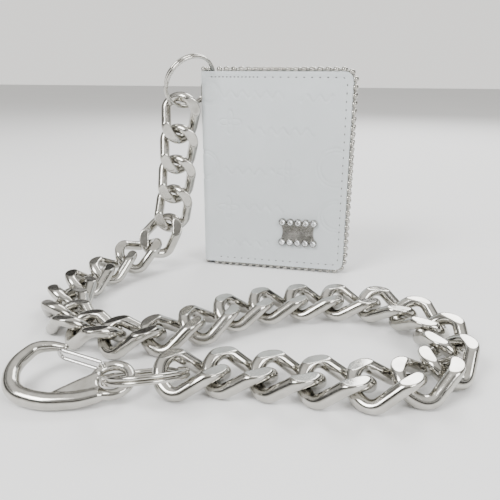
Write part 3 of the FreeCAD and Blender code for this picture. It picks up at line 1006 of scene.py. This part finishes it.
@dataclass
class Ornament:
    """A waisted plate with two rows of set stones and a ribbed bar between them."""

    spacing: float = 4.45
    row: float = 5.9
    bezel: float = 2.2
    seat: float = 1.66
    lip: float = 2.05
    thick: float = 1.2
    plate_half: float = 10.6
    plate_tall: float = 6.3
    scoop: float = 1.76
    bar_half: float = 7.6
    facets: int = 8

    def __post_init__(self) -> None:
        """Find the plate's middle from the CAD."""
        low, high = (Vector(corner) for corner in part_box("ornament_plate"))
        self.centre = Vector((0.5 * (low.x + high.x), high.y, 0.5 * (low.z + high.z)))

    def stone_places(self) -> list[Vector]:
        """Centres of the ten stones on the cover's face."""
        return [self.centre + Vector(((i - 2) * self.spacing, 0, row * self.row)) * MM
                for row in (1, -1) for i in range(5)]

    def plate(self) -> bpy.types.Object:
        """The waisted plate with a rounded edge."""
        tall, line = self.plate_tall, []
        for sign in (1, -1):
            for v in np.linspace(-tall, tall, 15):
                waist = self.plate_half - self.scoop * math.cos(math.pi * v / (2 * tall))
                line.append((sign * waist, sign * v))
        rings = [(1.0, 0.0), (1.0, 0.75), (0.985, 1.05), (0.955, self.thick)]
        points = [self.centre + Vector((x * s, -d, z * s)) * MM for s, d in rings for x, z in line]
        return outward(mesh_object("ornament_base", points, ring_faces(len(rings), len(line)), smooth=False))

    def bezel_ring(self, place: Vector, number: int) -> bpy.types.Object:
        """The cup that holds one stone."""
        profile = [(self.bezel, 0.0), (self.bezel, 1.45), (self.bezel - 0.12, 1.85),
                   (self.bezel - 0.32, self.lip), (self.seat + 0.06, 1.92), (self.seat, 1.6),
                   (self.seat, 0.9)]
        scaled = [(r * MM, h * MM) for r, h in profile]
        return lathe(f"bezel_{number:02d}", scaled, place, Vector((0, -1, 0)), 28)

    def stone(self, place: Vector, number: int) -> bpy.types.Object:
        """A round stone: table, two rows of crown facets, girdle and pavilion."""
        n = self.facets
        rings = [(0.88, 2.72, n, 0.0), (1.32, 2.48, n, 0.5), (1.62, 2.02, 2 * n, 0.25),
                 (1.62, 1.85, 2 * n, 0.25), (0.3, 0.95, n, 0.0)]
        points, starts = [], []
        for radius, height, count, shift in rings:
            starts.append(len(points))
            for k in range(count):
                a = 2 * math.pi * (k + shift) / count
                points.append(place + Vector((radius * math.cos(a), -height, radius * math.sin(a))) * MM)
        s0, s1, s2, s3, s4 = starts
        faces = [tuple(range(s0, s0 + n)), tuple(range(s4, s4 + n))]
        for k in range(n):
            nxt = (k + 1) % n
            faces += [(s0 + k, s1 + k, s0 + nxt), (s0 + nxt, s1 + k, s1 + nxt)]
            a, b, c = s2 + 2 * k, s2 + (2 * k + 1) % (2 * n), s2 + (2 * k + 2) % (2 * n)
            faces += [(s1 + k, a, b), (s1 + k, b, s1 + nxt), (s1 + nxt, b, c)]
            faces += [(s3 + 2 * k, s4 + k, s3 + (2 * k + 1) % (2 * n)),
                      (s3 + (2 * k + 1) % (2 * n), s4 + k, s4 + nxt),
                      (s3 + (2 * k + 1) % (2 * n), s4 + nxt, s3 + (2 * k + 2) % (2 * n))]
        faces += [(s2 + k, s2 + (k + 1) % (2 * n), s3 + (k + 1) % (2 * n), s3 + k) for k in range(2 * n)]
        return outward(mesh_object(f"crystal_{number:02d}", points, faces, smooth=False))

    def dress(self, finishes: Finishes, tree: NodeTree) -> None:
        """Make the plate, its bezels and bar, and the ten stones."""
        places = self.stone_places()
        cups = [self.bezel_ring(place, i + 1) for i, place in enumerate(places)]
        body = join("ornament_setting", [self.plate()] + cups)
        deliver(body, Side.FRONT.body, "fitting_metal", finishes.fitting, "ornament_plate")
        marks = [self.centre + Vector((x, -self.thick, 0.25 * math.sin(2.1 * x))) * MM
                 for x in np.linspace(-self.bar_half, self.bar_half, 20)]
        bar = tree.run(mesh_object("ornament_bar", marks, []),
                       {"Length": 3.4 * MM, "Width": 0.5 * MM, "Material": finishes.fitting})
        deliver(bar, Side.FRONT.body, "fitting_metal", None)
        for i, place in enumerate(places):
            stone = self.stone(place, i + 1)
            deliver(stone, Side.FRONT.body, "stone", finishes.crystal, f"stone_{i + 1:02d}")


# ------------------------------------------------------------------ chain and rings


def joint_of(child: str) -> dict:
    """The joint that carries a body."""
    return next(j for j in frame["joints"] if j["child"] == child)


def middle_of(node: str) -> Vector:
    """Volume centre of a CAD node's mesh."""
    mesh = frame["nodes"][node].data
    mesh.calc_loop_triangles()
    corners = np.empty(len(mesh.vertices) * 3)
    mesh.vertices.foreach_get("co", corners)
    corners = corners.reshape(-1, 3)
    index = np.array([t.vertices[:] for t in mesh.loop_triangles])
    a, b, c = corners[index[:, 0]], corners[index[:, 1]], corners[index[:, 2]]
    volume = np.einsum("ij,ij->i", a, np.cross(b, c))
    return Vector(((a + b + c) * volume[:, None] / 4).sum(0) / volume.sum())


@dataclass
class CurbChain:
    """Twenty-nine twisted links, all from one pattern, each placed by its own joint."""

    half_length: float = 11.55
    width: float = 21.0
    wire: float = 5.4
    twist: float = -40.0
    bar_half: float = 3.2
    shoulder_run: float = 4.6
    shoulder_twist: float = 0.8
    filed_half: float = 5.0
    corner_share: float = 0.49
    step: float = 0.62

    def pattern(self, finishes: Finishes, tree: NodeTree) -> bpy.types.Object:
        """One link about the origin, its length along x."""
        half_width, turn = 0.5 * (self.width - self.wire), math.radians(self.twist)
        bar = Vector((self.half_length, self.bar_half * math.cos(turn), self.bar_half * math.sin(turn)))
        shoulder = Vector((self.half_length - self.shoulder_run, half_width,
                           half_width * math.tan(turn * self.shoulder_twist)))
        half = [bar, shoulder, Vector((-shoulder.x, shoulder.y, -shoulder.z)),
                Vector((-bar.x, bar.y, -bar.z))]
        corners = [p * MM for p in half + [Vector((-p.x, -p.y, p.z)) for p in half]]
        path = rounded_path(corners, True, self.corner_share, self.step * MM)
        path = [p for i, p in enumerate(path) if (p - path[i - 1]).length > 1e-6]
        edges = [(i, (i + 1) % len(path)) for i in range(len(path))]
        obj = mesh_object("link_pattern", path, [], edges=edges)
        tree.run(obj, {"Wire Radius": 0.5 * self.wire * MM, "Filed Half": self.filed_half * MM,
                       "Material": finishes.chain})
        return outward(obj)

    def count(self) -> int:
        """How many links the frame holds."""
        return sum(name.startswith("chain_link") for name in frame["nodes"])

    def placed(self, number: int, total: int) -> Matrix:
        """Where one link lies: its middle from the CAD mesh, its turn from the joint at its leading end."""
        centre = middle_of(f"chain_link_{number:02d}")
        following = joint_of(f"link_{number + 1:02d}" if number < total else "hook_ring")
        along = (Vector(following["pos_m"]) - centre).normalized()
        bar = Vector(following["axis"])
        bar = (bar - along * bar.dot(along)).normalized()
        across = Matrix.Rotation(math.radians(-self.twist), 3, along) @ bar
        up = along.cross(across)
        turn = Matrix((along, across, up)).transposed()
        return Matrix.Translation(centre) @ turn.to_4x4()

    def dress(self, finishes: Finishes, tree: NodeTree) -> None:
        """Copy the pattern to every link's place."""
        pattern, total = self.pattern(finishes, tree), self.count()
        for number in range(1, total + 1):
            mesh = pattern.data.copy()
            mesh.transform(self.placed(number, total))
            obj = bpy.data.objects.new(f"curb_link_{number:02d}", mesh)
            bpy.context.scene.collection.objects.link(obj)
            deliver(obj, f"link_{number:02d}", "chain_metal", None, f"chain_link_{number:02d}")
        bpy.data.objects.remove(pattern)


@dataclass
class SplitRing:
    """One wire wound twice, its two coils side by side."""

    node: str
    body: str
    name: str
    crossing: float
    wire: float = 1.7
    step: float = 1.62
    cross_angle: float = 46.0
    segments: int = 220

    def circle(self) -> tuple[Vector, float, Vector]:
        """Centre, radius and axis of the ring, from the CAD mesh."""
        mesh = frame["nodes"][self.node].data
        centre = middle_of(self.node)
        cloud = np.array([v.co[:] for v in mesh.vertices]) - np.array(centre)
        _, _, ways = np.linalg.svd(cloud, full_matrices=False)
        axis = Vector(ways[2]).normalized()
        if axis.z < 0:
            axis.negate()
        reach = np.linalg.norm(np.cross(cloud, np.array(axis)), axis=1)
        return centre, float(0.5 * (reach.max() + reach.min())), axis

    def dress(self, finishes: Finishes) -> None:
        """Wind the wire and cut its two ends square."""
        centre, radius, axis = self.circle()
        across = Vector((1, 0, 0)) - axis * axis.x
        across.normalize()
        side = axis.cross(across)
        path = []
        half, share = 0.5 * self.step * MM, self.cross_angle / 360.0
        for k in range(self.segments + 1):
            turns = (2.0 - 0.004) * k / self.segments
            blend = min(1.0, max(0.0, (turns - 1.0 + share / 2) / share))
            height = -half + 2 * half * blend * blend * (3 - 2 * blend)
            angle = 2 * math.pi * turns + math.radians(self.crossing)
            path.append(centre + (across * math.cos(angle) + side * math.sin(angle)) * radius + axis * height)
        radii = [0.5 * self.wire * MM] * len(path)
        radii[0] = radii[-1] = 0.42 * self.wire * MM
        deliver(sweep(self.name, path, radii, 20), self.body, "ring_wire", finishes.rings, self.node)


@dataclass
class SnapHook:
    """The hook's forged body; its wire gate is the CAD's own."""

    pivot: tuple[float, float] = (5.2, 4.7)
    mouth: tuple[float, float] = (23.0, -1.0)
    eye_radius: float = 6.4
    eye_wire: float = 1.9
    share: float = 0.46
    corners: tuple[tuple[float, float], ...] = ((2.6, -7.3), (8.0, -10.4), (20.0, -13.6), (32.5, -11.8),
                                                (38.0, -2.0), (34.5, 8.8), (28.0, 10.4))
    nose: tuple[float, float] = (23.6, 10.5)
    web: tuple[tuple[float, float], ...] = ((3.6, -6.4), (9.0, -10.2), (17.5, -11.2), (13.0, -7.6),
                                            (8.0, -2.6), (6.2, 0.6))
    lug_half: float = 1.2
    lug_radius: float = 2.0
    voxel: float = 0.34

    def __post_init__(self) -> None:
        """Find the hook's own axes from the gate's joint and the mouth's mount."""
        gate = joint_of("gate")
        mount = next(m for m in frame["record"]["mounts"] if m["name"] == "belt_loop_hook")
        self.normal = -Vector(gate["axis"]).normalized()
        pivot, mouth = Vector(gate["pos_m"]), Vector(mount["pos_m"])
        du, dw = self.mouth[0] - self.pivot[0], self.mouth[1] - self.pivot[1]
        way = (mouth - pivot).normalized()
        self.along = Matrix.Rotation(-math.atan2(dw, du), 3, self.normal) @ way
        self.across = self.normal.cross(self.along)
        self.eye = pivot - (self.along * self.pivot[0] + self.across * self.pivot[1]) * MM

    def at(self, u: float, w: float, n: float = 0.0) -> Vector:
        """A place in metres from hook millimetres: along, across and out of its plane."""
        return self.eye + (self.along * u + self.across * w + self.normal * n) * MM

    def bar(self) -> bpy.types.Object:
        """The curved bar, thickest along the bottom and drawn out to the nose."""
        flat = [Vector((u, w, 0)) for u, w in self.corners]
        path = rounded_path(flat, False, self.share, 0.6)
        path += straight(path[-1], Vector((*self.nose, 0)), 0.6) + [Vector((*self.nose, 0))]
        stops = np.array([0.0, 0.12, 0.3, 0.55, 0.75, 0.9, 1.0])
        sizes = np.array([2.6, 2.9, 3.15, 3.1, 2.75, 2.15, 1.55])
        radii = np.interp(np.linspace(0, 1, len(path)), stops, sizes)
        return sweep("hook_bar", [self.at(*p) for p in path], list(radii * MM), 28)

    def plate(self) -> bpy.types.Object:
        """The web between the eye and the bar."""
        count, half = len(self.web), 1.7
        points = [self.at(u, w, n) for n in (-half, half) for u, w in self.web]
        faces = [(k, (k + 1) % count, (k + 1) % count + count, k + count) for k in range(count)]
        faces += [tuple(range(count)), tuple(range(count, 2 * count))]
        return outward(mesh_object("hook_web", points, faces))

    def ball(self, u: float, w: float, radius: float) -> bpy.types.Object:
        """A ball that rounds off an end."""
        turns = np.linspace(0.05, 3.09, 14)
        profile = [(radius * MM * math.sin(a), -radius * MM * math.cos(a)) for a in turns]
        return lathe("hook_ball", profile, self.at(u, w), self.normal, 24)

    def ribs(self) -> list[bpy.types.Object]:
        """Eye loop, web bar, lug and the end balls."""
        loop = [self.at(self.eye_radius * math.cos(a), self.eye_radius * math.sin(a))
                for a in np.linspace(0, 2 * math.pi, 73)]
        eye = sweep("hook_eye", loop, [self.eye_wire * MM] * len(loop), 24)
        web = sweep("hook_web_bar", [self.at(16.5, -10.8), self.at(11.2, -5.6), self.at(5.8, -0.4)],
                    [2.2 * MM, 2.3 * MM, 2.2 * MM], 24)
        rims = [(self.lug_radius * MM, sign * self.lug_half * MM) for sign in (-1, 1)]
        lug = lathe("hook_lug", rims, self.at(*self.pivot), self.normal, 28)
        balls = [self.ball(*self.corners[0], 2.6), self.ball(*self.nose, 1.55), self.ball(5.8, -0.4, 2.2)]
        return [eye, web, lug] + balls

    def cutter(self) -> bpy.types.Object:
        """One melted shape that frees the eye's hole and the two recesses where the gate's legs turn."""
        reach = self.eye_radius - self.eye_wire
        shapes = [lathe("cut_eye", [(reach * MM, -0.008), (reach * MM, 0.008)], self.eye, self.normal, 48)]
        for sign in (1, -1):
            low, high = sign * self.lug_half * MM, sign * 0.007
            shapes.append(lathe("cut_round", [(1.8 * MM, low), (1.8 * MM, high)], self.at(*self.pivot),
                                self.normal, 32))
            for angle in (12.0, -2.0, -16.0):
                turn = Matrix.Rotation(math.radians(angle), 3, self.normal)
                u, w = turn @ self.along, turn @ self.across
                spans = [(a, b, c) for a in (-1.4 * MM, 14 * MM) for b in (-1.5 * MM, 1.5 * MM)
                         for c in (low, high)]
                points = [self.at(*self.pivot) + u * a + w * b + self.normal * c for a, b, c in spans]
                faces = [(0, 1, 3, 2), (4, 6, 7, 5), (0, 4, 5, 1), (2, 3, 7, 6), (0, 2, 6, 4), (1, 5, 7, 3)]
                shapes.append(outward(mesh_object("cut_slot", points, faces, smooth=False)))
        return self.melted(join("hook_cutter", shapes), 0.2)

    def melted(self, obj: bpy.types.Object, voxel: float) -> bpy.types.Object:
        """Fuse overlapping pieces into one closed skin.

        Args:
            obj: The joined pieces.
            voxel: Grain of the new skin in millimetres.

        Returns:
            The same object.
        """
        remesh = obj.modifiers.new("melt", "REMESH")
        remesh.mode, remesh.voxel_size, remesh.use_smooth_shade = "VOXEL", voxel * MM, True
        return settle(obj)

    def dress(self, finishes: Finishes) -> None:
        """Melt the pieces of the body together, smooth them and cut the recesses."""
        body = join("hook_forging", [self.bar(), self.plate()] + self.ribs())
        self.melted(body, self.voxel)
        smooth = body.modifiers.new("soften", "SMOOTH")
        smooth.factor, smooth.iterations = 0.5, 9
        settle(body)
        cutter = self.cutter()
        cut = body.modifiers.new("cut", "BOOLEAN")
        cut.operation, cut.solver, cut.object = "DIFFERENCE", "EXACT", cutter
        settle(body)
        bpy.data.objects.remove(cutter)
        shade_smooth(body)
        body.data.set_sharp_from_angle(angle=math.radians(40))
        deliver(body, "hook", "hook_metal", finishes.hook, "hook_body")
        dress_in(frame["nodes"]["hook_gate"], finishes.wire)
        LOG.info("hook_gate keeps its CAD shape")


# ------------------------------------------------------------------ studio


@dataclass
class Studio:
    """Camera, floor, lights and surroundings."""

    eye: tuple[float, float, float] = (51.76, -215.75, 107.6)
    heading: tuple[float, float] = (-0.213, 0.977)
    pitch: float = -18.3
    roll: float = 0.3
    lens: float = 37.66
    shift: float = -0.008

    def camera(self) -> None:
        """Make the camera and set it as the scene's."""
        data = bpy.data.cameras.new("camera")
        data.lens, data.sensor_width, data.shift_x = self.lens, 36.0, self.shift
        data.clip_start, data.clip_end = 0.01, 20.0
        camera = bpy.data.objects.new("camera", data)
        bpy.context.scene.collection.objects.link(camera)
        tilt = math.radians(self.pitch)
        flat = Vector((*self.heading, 0)).normalized()
        ahead = flat * math.cos(tilt) + Vector((0, 0, math.sin(tilt)))
        turn = ahead.to_track_quat("-Z", "Y").to_matrix().to_4x4()
        spin = Matrix.Rotation(math.radians(self.roll), 4, "Z")
        camera.matrix_world = Matrix.Translation(Vector(self.eye) * MM) @ turn @ spin
        bpy.context.scene.camera = camera

    def floor(self) -> None:
        """A wide pale floor."""
        half = 6.0
        obj = mesh_object("floor", [(-half, -half, 0), (half, -half, 0), (half, half, 0), (-half, half, 0)],
                          [(0, 1, 2, 3)])
        finish = PlainFinish("studio_floor", (0.93, 0.93, 0.93), (0.91, 0.91, 0.91), 3.0, 0.9).make()
        obj.data.materials.append(finish)

    def light(self, name: str, place: tuple[float, float, float], size: float, power: float) -> None:
        """A soft square light that faces the object.

        Args:
            name: The light's name.
            place: Where it stands, in metres.
            size: Its side in metres.
            power: Its power in watts.
        """
        data = bpy.data.lights.new(name, "AREA")
        data.size, data.energy = size, power
        obj = bpy.data.objects.new(name, data)
        bpy.context.scene.collection.objects.link(obj)
        obj.location = place
        aim = Vector((0, 0, 0.04)) - Vector(place)
        obj.rotation_euler = aim.to_track_quat("-Z", "Y").to_euler()

    def surroundings(self) -> None:
        """A bright room with a darker band above eye level, which gives polished metal its lines."""
        world = bpy.data.worlds.new("studio")
        world.use_nodes = True
        tree = world.node_tree
        coords, parts = tree.nodes.new("ShaderNodeTexCoord"), tree.nodes.new("ShaderNodeSeparateXYZ")
        ramp = tree.nodes.new("ShaderNodeValToRGB")
        tree.links.new(coords.outputs["Generated"], parts.inputs["Vector"])
        tree.links.new(parts.outputs["Z"], ramp.inputs["Fac"])
        tree.links.new(ramp.outputs["Color"], tree.nodes["Background"].inputs["Color"])
        tree.nodes["Background"].inputs["Strength"].default_value = 1.3
        stops = ((0.0, 1.0), (0.15, 1.0), (0.2, 0.07), (0.44, 0.05), (0.52, 0.75), (0.62, 0.06), (0.82, 0.9),
                 (1.0, 1.0))
        ramp.color_ramp.elements[0].position, ramp.color_ramp.elements[1].position = stops[0][0], stops[-1][0]
        for position, _ in stops[1:-1]:
            ramp.color_ramp.elements.new(position)
        for element, (_, level) in zip(ramp.color_ramp.elements, stops):
            element.color = (level, 0.985 * level, 0.95 * level, 1.0)
        bpy.context.scene.world = world

    def set_up(self) -> None:
        """Put the studio together, camera first."""
        self.camera()
        self.floor()
        self.surroundings()
        self.light("key_light", (-0.55, -0.75, 0.95), 0.55, 17.0)
        self.light("fill_light", (0.85, -0.55, 0.6), 0.5, 9.0)
        self.light("back_light", (0.15, 0.9, 0.8), 0.6, 11.0)


def main() -> None:
    """Build every piece in order."""
    logging.basicConfig(level=logging.INFO, format="%(name)s: %(message)s")
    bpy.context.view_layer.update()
    Studio().set_up()
    finishes, wallet = Finishes(), WalletFrame()
    beads, stitches = beaded_wire_tree(), stitch_tree()
    for side in Side:
        CoverLeather(wallet, side).dress(finishes)
        Stitching(wallet, side).dress(finishes, stitches)
    BallTrim(wallet).dress(finishes, beads)
    InnerPanels().dress(finishes)
    SpineEyelet(wallet).dress(finishes)
    Ornament().dress(finishes, rib_tree())
    SplitRing("wallet_split_ring", "wallet_ring", "wallet_ring_coils", 200.0).dress(finishes)
    CurbChain().dress(finishes, curb_link_tree())
    SplitRing("hook_split_ring", "hook_ring", "hook_ring_coils", 60.0).dress(finishes)
    SnapHook().dress(finishes)


if __name__ == "__main__":
    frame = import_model()
    main()
